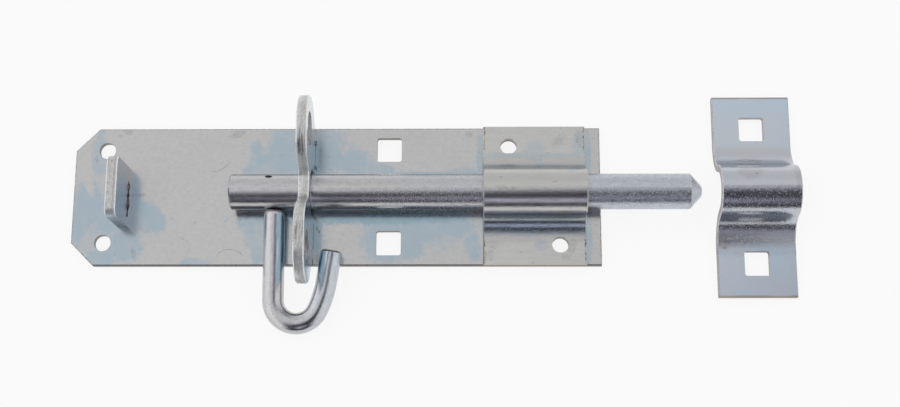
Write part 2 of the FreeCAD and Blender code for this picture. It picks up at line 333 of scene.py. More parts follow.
broken = step(tree, noise(tree, takes["Place"], BREAKS_PER_MM).outputs["Fac"], *BREAK_RUN)
feed(tree, leave, {"Mask": times(tree, times(tree, line, within), broken)})
print("group", scratch_arc.name)

# %% [markdown]
# ## Grain, specks and sheared edges
# Rolled sheet and drawn rod have a faint grain that runs one way, so noise is stretched along it; it
# gives a tone and a height. Specks are pits and dirt: small dots in random cells, of which only a share
# is kept. Where a press has sheared the sheet, the cut wall is dull and brownish. It is found by its
# normal, which points along the sheet and not across it. All three are groups, because most finishes
# below need them with values of their own.

# %% Groups for grain, specks and sheared edges
TONE_RUN = (0.28, 0.72)
FINE_TIMES = 4.3
FINE_SHARE = 0.35
SPECK_SHAKE_PER_MM = 2.4
SPECK_SHAKE_MM = (0.8, 0.8, 0.8)
DOT_RUN = (0.4, 1.0)
TEAR_PER_MM = 1.1
TEAR_SHARE = 0.5
WALL_RUN = (0.62, 0.86)

zinc_grain, takes, leave = new_group(
    "zinc_grain", "ShaderNodeTree",
    [("Place", VECTOR, None), ("Stretch", VECTOR, (1.0, 1.0, 1.0)), ("Scale", FLOAT, 1.0)],
    [("Tone", FLOAT, None), ("Height", FLOAT, None)])
tree = zinc_grain
drawn_out = arrow(tree, "MULTIPLY", takes["Place"], takes["Stretch"])
mottle = noise(tree, drawn_out, takes["Scale"], 3.0, 0.6).outputs["Fac"]
fine = noise(tree, drawn_out, times(tree, takes["Scale"], FINE_TIMES)).outputs["Fac"]
height = more(tree, mottle, fine, by=FINE_SHARE)
feed(tree, leave, {"Tone": step(tree, mottle, *TONE_RUN), "Height": height})

zinc_specks, takes, leave = new_group(
    "zinc_specks", "ShaderNodeTree",
    [("Place", VECTOR, None), ("Scale", FLOAT, 0.5), ("Size", FLOAT, 0.2), ("Share", FLOAT, 0.3)],
    [("Mask", FLOAT, None)])
tree = zinc_specks
shaken = noise(tree, takes["Place"], SPECK_SHAKE_PER_MM).outputs["Color"]
ragged = arrow(tree, "ADD", takes["Place"], arrow(tree, "MULTIPLY", shaken, SPECK_SHAKE_MM))
cells = add(tree, "ShaderNodeTexVoronoi", {"Vector": ragged, "Scale": takes["Scale"]})
chance = add(tree, "ShaderNodeSeparateColor", {"Color": cells.outputs["Color"]}).outputs["Red"]
dot = step(tree, sum_of(tree, "DIVIDE", cells.outputs["Distance"], takes["Size"]), *DOT_RUN, 1.0, 0.0)
feed(tree, leave, {"Mask": times(tree, dot, sum_of(tree, "LESS_THAN", chance, takes["Share"]))})

sheared_edge, takes, leave = new_group(
    "sheared_edge", "ShaderNodeTree",
    [("Normal", VECTOR, None), ("Across", VECTOR, (0.0, 0.0, 1.0)), ("Place", VECTOR, None)],
    [("Mask", FLOAT, None)])
tree = sheared_edge
facing = sum_of(tree, "ABSOLUTE", arrow(tree, "DOT_PRODUCT", takes["Normal"], takes["Across"]))
torn = sum_of(tree, "SUBTRACT", noise(tree, takes["Place"], TEAR_PER_MM, 3.0).outputs["Fac"], 0.5)
feed(tree, leave, {"Mask": step(tree, more(tree, facing, torn, by=TEAR_SHARE), *WALL_RUN, 1.0, 0.0)})
print("groups", zinc_grain.name, zinc_specks.name, sheared_edge.name)

# %% [markdown]
# ## How a zinc finish is put together
# Every finish below is one metal shader with three things worked out over the surface: colour, roughness
# and a very shallow height. Colours are laid over each other by masks, as plating, stains and dirt lie
# on the real sheet. The patterns read Object coordinates in millimetres, so they stay on the metal.

# %% Helpers that start and close a finish
PLATED = 0.96


def start_metal(name):
    """Opens a material and gives its tree, the place in millimetres and the normal."""
    material = bpy.data.materials.new(name)
    material.use_nodes = True
    tree = material.node_tree
    tree.nodes.clear()
    where = add(tree, "ShaderNodeTexCoord").outputs
    place = arrow(tree, "MULTIPLY", where["Object"], (1.0 / MM, 1.0 / MM, 1.0 / MM))
    return material, tree, place, where["Normal"]


def layer(tree, under, over, mask, share=1.0):
    """Lays a colour over another where the mask is, as strongly as share says."""
    return blend(tree, times(tree, mask, share), under, over)


def coats(tree, colour, layers):
    """Lays several colours over the first; each is a colour, its mask and its share."""
    for over, mask, share in layers:
        colour = layer(tree, colour, over, mask, share)
    return colour


def rougher(tree, roughness, layers):
    """Adds to a roughness; each layer is a mask and how much it adds."""
    for mask, amount in layers:
        roughness = more(tree, roughness, mask, by=amount)
    return roughness


def finish_metal(material, tree, colour, roughness, height, depth_mm):
    """Closes a metal material: colour and roughness as worked out, height as a shallow bump."""
    bump = add(tree, "ShaderNodeBump", {"Height": height, "Distance": depth_mm * MM}).outputs["Normal"]
    inputs = {"Base Color": colour, "Metallic": PLATED, "Roughness": roughness, "Normal": bump}
    metal = add(tree, "ShaderNodeBsdfPrincipled", inputs)
    add(tree, "ShaderNodeOutputMaterial", {"Surface": metal.outputs["BSDF"]})


def dress(material, node_name):
    """Gives a solid its finish."""
    nodes[node_name].data.materials.clear()
    nodes[node_name].data.materials.append(material)
    print("dressed", node_name, "with", material.name, "of", len(material.node_tree.nodes), "nodes")


print("plated share", PLATED)

# %% [markdown]
# ## Masks from the groups
# A mask says where a coat lies. Some come from the groups above, and some mark a band between two values.
# Writing every node out would hide the few numbers that matter, so a helper makes each kind.


# %% Helpers that make masks
def use(tree, group, inputs):
    """Places a shader group in a material and returns its outputs."""
    node = tree.nodes.new("ShaderNodeGroup")
    node.node_tree = group
    feed(tree, node, inputs)
    return node.outputs


def grain_of(tree, place, stretch, scale):
    """Tone and height of a grain; scale is in mottles for each millimetre."""
    return use(tree, zinc_grain, {"Place": place, "Stretch": stretch, "Scale": scale})


def specks(tree, place, scale, size, share):
    """Mask of small dots in random cells; scale is in cells for each millimetre."""
    return use(tree, zinc_specks, {"Place": place, "Scale": scale, "Size": size, "Share": share})["Mask"]


def on_edge(tree, place, normal, across):
    """Mask of the surfaces that stand on edge to a direction, with a torn outline."""
    return use(tree, sheared_edge, {"Normal": normal, "Across": across, "Place": place})["Mask"]


def outside(tree, mask):
    """Everything but the mask."""
    return sum_of(tree, "SUBTRACT", 1.0, mask)


def all_of(tree, masks):
    """The strongest of several masks at each point."""
    strongest = masks[0]
    for mask in masks[1:]:
        strongest = sum_of(tree, "MAXIMUM", strongest, mask)
    return strongest


def band(tree, value, start, end, soft):
    """Mask that is one between two values, with soft ends."""
    rise = step(tree, value, start - soft, start + soft)
    return times(tree, rise, step(tree, value, end - soft, end + soft, 1.0, 0.0))


def clouds(tree, place, per_mm, low, high, detail=2.0, ends=(0.0, 1.0)):
    """Soft clouds: noise through a soft step, between two end values."""
    return step(tree, noise(tree, place, per_mm, detail).outputs["Fac"], low, high, *ends)


print("mask helpers ready")

# %% [markdown]
# ## Marks from lists of places
# Stains, scuffs and scratches are lists of places. A patch is given by its middle, reach and turn, a
# scratch by its ends and the radius of its arc, because ends are what one reads off the metal. Dirt is
# made of crumbs inside a patch, since an even dark patch would look painted.

# %% Helpers that make marks
THROUGH_MM = 50.0
SMUDGE_RAGGED = 0.6
SMUDGE_CRUMBS = (2.6, 0.5, 0.5)
SMUDGE_SMEAR = 0.2
SMUDGE_DARK = 0.7


def patches(tree, place, spots, ragged):
    """One mask from ragged patches, each x, y, reach along X and Y and, if it is turned, degrees."""
    masks = []
    for x, y, reach_x, reach_y, *turn in spots:
        inputs = {"Place": place, "Centre": (x, y, 0.0), "Reach": (reach_x, reach_y, THROUGH_MM),
                  "Turn": math.radians(sum(turn)), "Ragged": ragged}
        masks.append(use(tree, stain_patch, inputs)["Mask"])
    return all_of(tree, masks)


def scratches(tree, place, runs, width):
    """One mask from several arcs, each a start, an end and a radius, bulging to the left of its run."""
    masks = []
    for start, end, radius in runs:
        start, end = Vector(start), Vector(end)
        along = (end - start).normalized()
        facing = Vector((-along.y, along.x))
        half = (end - start).length / 2.0
        spread = math.sqrt(radius ** 2 - half ** 2) / radius
        centre = (start + end) / 2.0 - facing * spread * radius
        inputs = {"Place": place, "Centre": centre.to_3d(), "Radius": radius, "Facing": facing.to_3d(),
                  "Spread": spread, "Width": width}
        masks.append(use(tree, scratch_arc, inputs)["Mask"])
    return all_of(tree, masks)


def smudges(tree, place, spots):
    """Touches of dirt: fine crumbs inside soft patches, over a faint smear."""
    within = patches(tree, place, spots, SMUDGE_RAGGED)
    crumbs = specks(tree, place, *SMUDGE_CRUMBS)
    return times(tree, within, more(tree, SMUDGE_SMEAR, crumbs, by=SMUDGE_DARK))


print("mark helpers ready")

# %% [markdown]
# ## The back plate
# A sheared strip of rolled sheet, plated, with blue stains round the lug, the hasp plate and the lower
# square hole, where the dip drained slowly. Under them lies a wide, faint blue wash. Along the bar's
# lower side and at the hasp plate's foot deep teal is painted as shade. The plate has been handled: a few
# dark scuffs, hair scratches and specks. The sheet is smooth enough to mirror what stands on it. A painted
# picture could hold all this too, but marks in lists can be moved one at a time.

# %% Places of the plate's marks
# The long thin patches at 28.0, 6.4 and 18.0, -6.5 lie along the bar and are painted shade; the rest are
# stains.
PLATE_STAINS_AND_BAR_SHADE = [
    (-70.0, -2.0, 5.4, 7.5), (-68.2, 12.0, 2.6, 7.5), (-73.2, -8.0, 2.2, 6.5),
    (-60.0, -14.5, 5.2, 6.2), (-66.0, -18.0, 5.0, 2.8), (-64.5, -8.0, 4.5, 3.2),
    (-57.3, -1.0, 1.7, 9.0), (-54.0, -5.5, 4.4, 5.0), (-50.8, -7.4, 2.4, 3.4),
    (-39.5, -19.3, 4.5, 1.4), (-16.0, 13.0, 4.8, 7.8), (-20.0, 9.5, 4.8, 3.8),
    (-23.5, 7.3, 3.4, 2.2), (-23.2, 14.2, 2.0, 2.6), (-12.5, 12.0, 3.2, 8.5),
    (-2.2, 13.0, 4.8, 8.0), (5.5, 10.5, 5.4, 5.0), (12.0, 7.4, 4.5, 2.2),
    (28.0, 6.4, 15.0, 0.9), (37.0, 7.0, 4.8, 1.5), (-23.5, -7.0, 4.8, 3.2),
    (-22.6, -11.0, 3.4, 4.8), (-21.8, -15.5, 2.0, 4.8), (18.0, -6.5, 24.0, 2.4),
    (13.5, -11.8, 6.8, 8.2), (24.0, -9.0, 7.5, 5.5), (21.5, -15.0, 4.4, 4.2),
    (31.0, -7.5, 6.0, 3.6), (34.0, -9.0, 6.5, 3.4), (38.8, -14.5, 2.8, 4.8),
    (40.8, 11.0, 1.1, 8.5), (71.4, 12.0, 1.2, 9.0), (71.4, -12.0, 1.2, 9.0)]
DRAINED_STREAKS = [(-70.8, 3.4, 1.3, 3.8, -25), (-72.0, 9.5, 1.6, 4.0)]
# Painted shade: deep teal strips along the bar's shaded lower side and at the hasp plate's foot.
TEAL_SHADE_PATCHES = [(8.0, -6.0, 37.0, 2.3), (-5.2, -10.0, 1.5, 8.0), (-5.6, 11.0, 1.2, 6.5)]
BLUE_WASH = [(30.0, -9.0, 14.0, 6.5), (-66.0, -12.0, 9.0, 8.0), (-10.0, 13.0, 13.0, 8.0)]
PLATE_SCUFFS = [
    (-60.5, 19.2, 1.7, 1.0, 30), (-28.4, 18.4, 2.2, 1.1, -25), (-57.0, -16.7, 0.7, 2.0, -15),
    (-56.0, 0.4, 2.2, 0.5), (-69.0, 10.8, 0.5, 1.0), (38.0, 18.0, 1.6, 1.2, 20),
    (-62.6, 18.0, 0.8, 0.6)]
PLATE_SCRATCHES = [
    ((-45.4, -11.5), (-40.6, -14.0), 12.0), ((-40.6, -14.0), (-43.0, -17.5), 12.0),
    ((-33.4, -17.6), (-25.9, -17.6), 4.2), ((-71.0, -3.3), (-70.0, -9.0), 20.0),
    ((29.6, 16.5), (30.8, 10.5), 20.0), ((-30.4, 10.4), (-35.8, 7.0), 9.0)]
print("plate:", len(PLATE_STAINS_AND_BAR_SHADE), "stains", len(PLATE_SCUFFS), "scuffs", len(PLATE_SCRATCHES), "scratches")

# %% [markdown]
# ## Laying the plate's coats
# The coats go on in the order of the real ones: bare zinc with its clouds and grain, the blue wash and
# the stains, then dirt, and last the brown of the sheared walls, which were never as smooth as the sheet.

# %% Dress the back plate
ZINC_GREY = (0.550, 0.551, 0.556, 1.0)
WARM_GREY = (0.535, 0.531, 0.526, 1.0)
ROSE_GREY = (0.575, 0.560, 0.560, 1.0)
GRAIN_GREY = (0.46, 0.46, 0.46, 1.0)
PASSIVATE_BLUE = (0.405, 0.487, 0.552, 1.0)
# Teal for painted shade, on the plate and under the saddle's arch.
TEAL_SHADE = (0.250, 0.390, 0.465, 1.0)
SHEARED_BROWN = (0.215, 0.190, 0.170, 1.0)
DIRT = (0.230, 0.220, 0.210, 1.0)
SHEET_SHINE = 0.17
UP = (0.0, 0.0, 1.0)


def plate_zinc():
    """Rolled sheet with passivate stains, scuffs, scratches and brown sheared walls."""
    material, tree, place, normal = start_metal("plate_zinc_rolled")
    grain = grain_of(tree, place, stretch=(0.8, 1.0, 1.0), scale=1.1)
    cloud = clouds(tree, place, per_mm=0.045, low=0.40, high=0.68)
    hue = clouds(tree, place, per_mm=0.32, low=0.36, high=0.64, detail=3.0)
    drained = patches(tree, place, DRAINED_STREAKS, ragged=0.4)
    stains_and_shade = times(tree, patches(tree, place, PLATE_STAINS_AND_BAR_SHADE, ragged=0.45), outside(tree, drained))
    drift = clouds(tree, place, per_mm=0.13, low=0.34, high=0.60, detail=3.0, ends=(0.66, 1.10))
    blots = clouds(tree, place, per_mm=0.8, low=0.34, high=0.62, detail=3.0, ends=(0.80, 1.0))
    scuff = smudges(tree, place, PLATE_SCUFFS)
    sheared = on_edge(tree, place, normal, across=UP)
    colour = coats(tree, ZINC_GREY, [
        (WARM_GREY, cloud, 0.7),
        (ROSE_GREY, hue, 0.45),
        (GRAIN_GREY, grain["Tone"], 0.24),
        (PASSIVATE_BLUE, patches(tree, place, BLUE_WASH, ragged=0.35), 0.42),
        # blue stains, with painted shade in the two long patches along the bar
        (PASSIVATE_BLUE, stains_and_shade, times(tree, drift, blots)),
        # painted shade: deep teal under the bar and at the hasp plate's foot
        (TEAL_SHADE, patches(tree, place, TEAL_SHADE_PATCHES, ragged=0.45), 0.55),
        (DIRT, scuff, 0.80),
        (DIRT, specks(tree, place, scale=0.45, size=0.12, share=0.40), 0.45),
        (DIRT, scratches(tree, place, PLATE_SCRATCHES, width=0.22), 0.50),
        (SHEARED_BROWN, sheared, 0.85)])
    roughness = rougher(tree, SHEET_SHINE, [(grain["Tone"], 0.06), (sheared, 0.30), (scuff, 0.2)])
    finish_metal(material, tree, colour, roughness, grain["Height"], depth_mm=0.006)
    return material


dress(plate_zinc(), "back_plate")

# %% [markdown]
# ## The uprights: end stop and hasp plate
# Both are stamped from thicker plate and stand on edge. What the camera sees of them is the stamped wall:
# a bright burnished band where the punch cut, then a rougher torn band, and dark lines that the punch
# drew along parts of it. The faces are bluer towards their near end, and a highlight is painted on the
# arris between. Two materials could be written out, but one function dresses both, because each takes
# its own thickness and place from its box.

# %% Parts of a stamped finish
ALONG_X = (1.0, 0.0, 0.0)
EVEN = (1.0, 1.0, 1.0)
DRAWN_LINE = (0.150, 0.140, 0.145, 1.0)
LINE_STRETCH = (1.9, 0.16, 0.16)
LINE_RUN = (0.44, 0.62)
LINE_SOFT_MM = 2.0
FACE_BLUE = (0.500, 0.650, 0.770, 1.0)
FACE_PALE = (0.700, 0.735, 0.770, 1.0)
FACE_GRAIN = (0.480, 0.550, 0.590, 1.0)
HALFWAY = math.sqrt(0.5)
ARRIS_RUN = (0.05, 0.20)


def shade(light, red, green, blue):
    """A colour given by shares of one lightness."""
    return (red * light, green * light, blue * light, 1.0)


def stamped_wall(tree, place, light, torn, tone, dark_runs):
    """Colour of a stamped wall: burnished and torn, streaked, pitted, with dark lines on some runs of Y."""
    streaks = grain_of(tree, place, stretch=(1.0, 0.30, 0.30), scale=1.6)["Tone"]
    colour = coats(tree, shade(light, 1.0, 1.0, 1.0), [
        (shade(light, 0.85, 0.84, 0.83), torn, 1.0),
        (shade(light, 0.40, 0.40, 0.41), streaks, 0.45),
        (shade(light, 1.35, 1.35, 1.35), tone, 0.38),
        (DIRT, specks(tree, place, scale=1.6, size=0.34, share=0.40), 0.65)])
    drawn_out = arrow(tree, "MULTIPLY", place, LINE_STRETCH)
    lines = step(tree, noise(tree, drawn_out, 1.0, 3.0, 0.6).outputs["Fac"], *LINE_RUN)
    across = split_up(tree, place)["Y"]
    for start, end in dark_runs:
        run = band(tree, across, start, end, LINE_SOFT_MM)
        colour = layer(tree, colour, DRAWN_LINE, times(tree, run, lines), share=0.8)
    return colour


def upright_face_colour(tree, place, low_y, high_y, tone):
    """Colour of an upright's face: blue at its near end, paler towards the far end."""
    near_to_far = step(tree, split_up(tree, place)["Y"], low_y, high_y)
    return layer(tree, layer(tree, FACE_BLUE, FACE_PALE, near_to_far), FACE_GRAIN, tone, share=0.4)


def arris_highlight_mask(tree, normal, tone):
    """Mask of the arris, which faces halfway between the upright's face and its wall, for a painted
    highlight.
    """
    facing = sum_of(tree, "ABSOLUTE", arrow(tree, "DOT_PRODUCT", normal, ALONG_X))
    off = sum_of(tree, "ABSOLUTE", sum_of(tree, "SUBTRACT", facing, HALFWAY))
    uneven = step(tree, tone, 0.1, 0.5, 0.4, 1.0)
    return times(tree, step(tree, off, *ARRIS_RUN, 1.0, 0.0), uneven)


print("stamped parts ready, arris at", round(HALFWAY, 3))

# %% [markdown]
# ## Putting the uprights' finish together
# How deep the punch burnished the wall, how light it is and how much painted teal reflection its near side
# gets differ between the two, so these are the function's inputs. Walls that lean towards the camera are
# duller.

# %% Dress the end stop and the hasp plate
NEAR_WALL_REFLECTION = (0.470, 0.580, 0.640, 1.0)
ARRIS_HIGHLIGHT = (0.85, 0.85, 0.85, 1.0)
TORN_FROM = 0.20
TORN_FULL = 0.32
NEAR_WALL = (-0.80, -0.25)
LEANING_WALL = (-0.60, -0.10)
STAMPED_SHINE = 0.20


def upright_zinc(name, node_name, burnished, light, reflection_tint, dark_runs):
    """Stamped plate: bluish faces, a burnished and a torn band on walls, a painted near-wall reflection and
    arris highlight.
    """
    material, tree, place, normal = start_metal(name)
    low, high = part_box(node_name)
    grain = grain_of(tree, place, stretch=EVEN, scale=1.9)
    depth = step(tree, split_up(tree, place)["X"], low[0] / MM, high[0] / MM)
    ragged = more(tree, depth, noise(tree, place, 0.5, 3.0).outputs["Fac"], by=0.5)
    torn = step(tree, ragged, burnished + TORN_FROM, burnished + TORN_FULL)
    wall = on_edge(tree, place, normal, across=ALONG_X)
    facing_near = split_up(tree, normal)["Y"]
    stamped = stamped_wall(tree, place, light, torn, grain["Tone"], dark_runs)
    # Painted reflection: walls facing the near side are tinted teal.
    stamped = layer(tree, stamped, NEAR_WALL_REFLECTION, step(tree, facing_near, *NEAR_WALL, 1.0, 0.0), share=reflection_tint)
    face = upright_face_colour(tree, place, low[1] / MM, high[1] / MM, grain["Tone"])
    colour = layer(tree, face, stamped, wall)
    # Painted highlight on the arris.
    colour = layer(tree, colour, ARRIS_HIGHLIGHT, arris_highlight_mask(tree, normal, grain["Tone"]), share=0.8)
    roughness = more(tree, STAMPED_SHINE, times(tree, wall, torn), by=0.16)
    roughness = sum_of(tree, "ADD", roughness, step(tree, facing_near, *LEANING_WALL, 0.25, 0.0))
    finish_metal(material, tree, colour, roughness, grain["Height"], depth_mm=0.045)
    return material


stop_zinc = upright_zinc("lug_zinc_end_stop", "end_stop", burnished=0.75, light=0.55, reflection_tint=0.8, dark_runs=[])
dress(stop_zinc, "end_stop")
hasp_zinc = upright_zinc("lug_zinc_hasp", "hasp_plate", burnished=0.35, light=0.66, reflection_tint=0.1,
                         dark_runs=[(6.5, 14.0), (-18.5, -12.0)])
dress(hasp_zinc, "hasp_plate")

# %% [markdown]
# ## The guide saddle
# A strap pressed over the bar and spot welded down. Its sheet is a little warmer than the plate's, with a
# blue patch by the upper hole, soft dark smudges where the welding tip and the press have touched it, and
# pale brown cut ends. Teal under the arch's near side and blue in the upper bend's crease are painted
# shade.
# The press left fine lines along the arch. The bends could be picked out by their slope, but bands of Y are
# simpler, because the strap is bent about X alone. Each band is a start, an end and a softness in
# millimetres.

# %% Places on the guide saddle
SADDLE_STAINS = [
    (56.3, 12.6, 3.0, 3.2), (56.5, 11.5, 15.0, 0.9), (60.0, 7.6, 4.5, 1.4),
    (68.6, 14.0, 2.0, 4.5), (56.0, -9.4, 17.0, 2.4), (58.0, -14.5, 2.0, 1.6),
    (66.5, 6.0, 2.2, 1.6), (47.0, 7.8, 3.5, 0.8)]
SADDLE_SCUFFS = [
    (44.4, -14.4, 1.7, 1.6), (43.6, -17.0, 1.4, 1.6), (69.0, 16.5, 1.0, 2.4),
    (63.5, 16.0, 2.8, 1.6, -30), (66.6, -15.0, 1.6, 2.4, 20), (65.0, -18.0, 1.6, 0.9),
    (47.0, -0.4, 2.4, 0.7, 10), (50.2, -0.6, 1.0, 0.6), (46.6, 2.6, 0.6, 0.6),
    (61.5, 1.2, 1.2, 0.4)]
FLANGE_TOP_MM = 3.5
FLANGE_SOFT_MM = 0.25
ARCH_FADES = (11.5, 13.5)
# Painted shade: a teal band under the arch's near side and a blue one in the upper bend's crease.
SADDLE_NEAR_SHADE = (-11.2, -6.2, 0.6)
SADDLE_CREASE_SHADE = (6.9, 8.9, 0.5)
SADDLE_UPPER_BEND = (7.5, 12.0, 0.8)
SADDLE_NEAR_SIDE = (-10.0, 2.5, 1.5)
SADDLE_LOWER_BEND = (-14.0, -10.2, 0.8)
print("saddle marks:", len(SADDLE_STAINS), "stains", len(SADDLE_SCUFFS), "scuffs")

# %% [markdown]
# ## Laying the saddle's coats
# The order is the plate's: zinc and grain, blue and the painted shade, dirt, and last the cut edges. Where
# the strap was bent hard its skin is broken into fine dull specks, which lighten the dark reflections
# there.
# A bump could break them up as well, but it would blur the bright lines too.

# %% Dress the guide saddle
ALONG_Y = (0.0, 1.0, 0.0)
STRAP_LIGHT = (0.560, 0.558, 0.552, 1.0)
STRAP_DARK = (0.500, 0.494, 0.484, 1.0)
STRAP_CUT = (0.430, 0.395, 0.345, 1.0)
FROST = (2.0, 0.6, 0.45)


def saddle_roughness(tree, place, tone, cut):
    """Smooth sheet, duller on the bends and speckled at the lower one."""
    across = split_up(tree, place)["Y"]
    broken = sum_of(tree, "ADD", specks(tree, place, *FROST), 0.5)
    foot = times(tree, band(tree, across, *SADDLE_LOWER_BEND), broken)
    return rougher(tree, SHEET_SHINE, [
        (tone, 0.06),
        (band(tree, across, *SADDLE_UPPER_BEND), 0.16),
        (band(tree, across, *SADDLE_NEAR_SIDE), 0.02),
        (foot, 0.20),
        (cut, 0.25)])


def saddle_zinc():
    """Pressed strap: warm sheet, blue patches and bends, soft dark smudges, pale brown ends."""
    material, tree, place, normal = start_metal("strap_zinc_pressed")
    split = split_up(tree, place)
    grain = grain_of(tree, place, stretch=(0.22, 1.0, 1.0), scale=0.9)
    low_down = step(tree, split["Z"], FLANGE_TOP_MM - FLANGE_SOFT_MM, FLANGE_TOP_MM, 1.0, 0.0)
    ends = times(tree, outside(tree, on_edge(tree, place, normal, across=ALONG_Y)), low_down)
    cut = sum_of(tree, "MAXIMUM", outside(tree, on_edge(tree, place, normal, across=ALONG_X)), ends)
    colour = coats(tree, STRAP_LIGHT, [
        (STRAP_DARK, grain["Tone"], 0.35),
        (PASSIVATE_BLUE, patches(tree, place, SADDLE_STAINS, ragged=0.7), 0.48),
        # painted shade: teal under the arch's near side
        (TEAL_SHADE, band(tree, split["Y"], *SADDLE_NEAR_SHADE), 0.32),
        # painted shade: blue in the upper bend's crease
        (PASSIVATE_BLUE, band(tree, split["Y"], *SADDLE_CREASE_SHADE), 0.25),
        (DIRT, smudges(tree, place, SADDLE_SCUFFS), 0.65),
        (DIRT, specks(tree, place, scale=0.5, size=0.16, share=0.35), 0.5),
        (STRAP_CUT, cut, 0.9)])
    roughness = saddle_roughness(tree, place, grain["Tone"], cut)
    pressed = grain_of(tree, place, stretch=(0.5, 1.0, 1.0), scale=1.8)["Height"]
    arched = step(tree, sum_of(tree, "ABSOLUTE", split["Y"]), *ARCH_FADES, 1.0, 0.12)
    finish_metal(material, tree, colour, roughness, times(tree, pressed, arched), depth_mm=0.035)
    return material


dress(saddle_zinc(), "guide_saddle")

# %% [markdown]
# ## The bar and its hook
# Both are drawn rod. Drawing leaves grain along the rod, and plating over it gives a mottled shine that
# breaks up every reflection, so the height matters more than the colour here. Fine dull specks make the
# bar duller towards its nose. The hook was bent after drawing, so its mottle has no single direction. Teal
# on its inner faces in the loop and a bluer right leg are painted reflection, and its sawn end is dull.
# One function does for both, and each rod gives its own values.

# %% Dress the bar and the hook
ROD_LILAC = (0.565, 0.562, 0.582, 1.0)
ROD_BLUE = (0.560, 0.605, 0.660, 1.0)
ROD_GRAIN = (0.440, 0.430, 0.440, 1.0)
LOOP_TEAL_REFLECTION = (0.340, 0.510, 0.590, 1.0)
ROD_SHINE = 0.11
ROD_FROST = (2.3, 0.7, 0.5)
INSIDE_RUN = (1.5, 5.0)
LOOP_RUN_MM = (-27.0, -19.0)
END_FACING = (0.75, 0.95)
END_FROM_MM = 3.0
END_FULL_MM = 4.0


def loop_masks(tree, place, normal, loop_x):
    """Masks of a loop about one X: its inner faces, which get a painted teal reflection, and its sawn end.
    """
    split = split_up(tree, place)
    facing = split_up(tree, normal)
    inward = times(tree, sum_of(tree, "SUBTRACT", loop_x, split["X"]), facing["X"])
    reflection_tint = times(tree, step(tree, inward, *INSIDE_RUN), step(tree, split["Y"], *LOOP_RUN_MM))
    beyond = step(tree, split["X"], loop_x + END_FROM_MM, loop_x + END_FULL_MM)
    return reflection_tint, times(tree, step(tree, facing["Y"], *END_FACING), beyond)


def rod_zinc(name, stretch, mottles_per_mm, depth_mm, cool_run, dull_run, dull_end, loop_x=None):
    """Drawn rod: lilac zinc, bluer and duller along X, mottled and pitted; painted teal reflection in a
    loop.
    """
    material, tree, place, normal = start_metal(name)
    along = split_up(tree, place)["X"]
    grain = grain_of(tree, place, stretch=stretch, scale=mottles_per_mm)
    peel = grain_of(tree, place, stretch=EVEN, scale=2.8)
    frost = specks(tree, place, *ROD_FROST)
    dull = times(tree, more(tree, 0.9, frost, by=1.5), dull_end)
    worn = more(tree, 0.2, step(tree, along, *dull_run), by=0.8)
    roughness = more(tree, more(tree, ROD_SHINE, dull, by=worn), grain["Tone"], by=0.06)
    colour = layer(tree, ROD_LILAC, ROD_BLUE, step(tree, along, *cool_run))
    if loop_x is not None:
        reflection_tint, sawn = loop_masks(tree, place, normal, loop_x)
        # Painted reflection: teal on the loop's inner faces.
        colour = layer(tree, colour, LOOP_TEAL_REFLECTION, reflection_tint, share=0.75)
        roughness = more(tree, roughness, sawn, by=0.35)
    colour = coats(tree, colour, [
        (ROD_GRAIN, grain["Tone"], 0.40),
        (DIRT, specks(tree, place, scale=1.0, size=0.20, share=0.35), 0.55),
        (DIRT, specks(tree, place, scale=2.2, size=0.42, share=0.4), 0.30)])
    height = more(tree, peel["Height"], grain["Height"], by=0.6)
    finish_metal(material, tree, colour, roughness, height, depth_mm)
    return material


bar_zinc = rod_zinc("bar_zinc_drawn", stretch=(0.35, 1.0, 1.0), mottles_per_mm=1.3, depth_mm=0.034,
                    cool_run=(0.0, 80.0), dull_run=(-5.0, 55.0), dull_end=0.16)
dress(bar_zinc, "bolt_bar")
# On the hook, the bluer right leg is a painted reflection.
hook_zinc = rod_zinc("bar_zinc_bent", stretch=(1.0, 0.5, 1.0), mottles_per_mm=0.8, depth_mm=0.028,
                     cool_run=(-14.0, 2.0), dull_run=(-14.0, 2.0), dull_end=0.035, loop_x=-9.0)
dress(hook_zinc, "hook_handle")

# %% [markdown]
# ## The receiver keep
# The keep comes from another batch: smoother, bluer and more like a mirror, with brown cut edges, dull
# specks where the strap was bent, and two small touches of rust. It could share the saddle's finish, but
# beside it the difference shows, so it has its own. As on the saddle, each bend is a band of Y.

# %% Places and dullness on the keep
KEEP_RUST = [(117.0, 3.5, 0.4, 0.3), (109.4, -15.0, 0.45, 0.5)]
KEEP_BROWNED = [(115.5, 4.0, 4.0, 2.0), (128.5, 3.0, 1.4, 4.0), (109.2, -14.0, 1.6, 2.4)]
KEEP_SHINE = 0.11
KEEP_ARCH_SIDE = (-8.5, 0.5, 1.5)
KEEP_LOWER_FOOT = (-17.5, -12.0, 1.0)
KEEP_LOWER_BEND = (-17.0, -10.5, 0.6)
KEEP_STRETCHED = (-12.6, -9.2, 0.5)
KEEP_UPPER_BEND = (8.5, 15.0, 0.8)
FADING_FROM_MM = 3.0


def keep_roughness(tree, place, tone, cut, low_x, high_x):
    """Mirror-like strap, speckled on its worked bends; the lower bend's dullness grows along X."""
    split = split_up(tree, place)
    frost = specks(tree, place, *FROST)
    across = split["Y"]
    worked = sum_of(tree, "ADD", band(tree, across, *KEEP_ARCH_SIDE), band(tree, across, *KEEP_LOWER_FOOT))
    growing = step(tree, split["X"], low_x + FADING_FROM_MM, high_x, 0.45, 1.0)
    return rougher(tree, KEEP_SHINE, [
        (tone, 0.05),
        (times(tree, sum_of(tree, "ADD", frost, 0.3), worked), 0.20),
        (times(tree, band(tree, across, *KEEP_LOWER_BEND), growing), 0.30),
        (times(tree, band(tree, across, *KEEP_STRETCHED), more(tree, 0.10, frost, by=0.26)), 1.0),
        (band(tree, across, *KEEP_UPPER_BEND), 0.10),
        (cut, 0.3)])


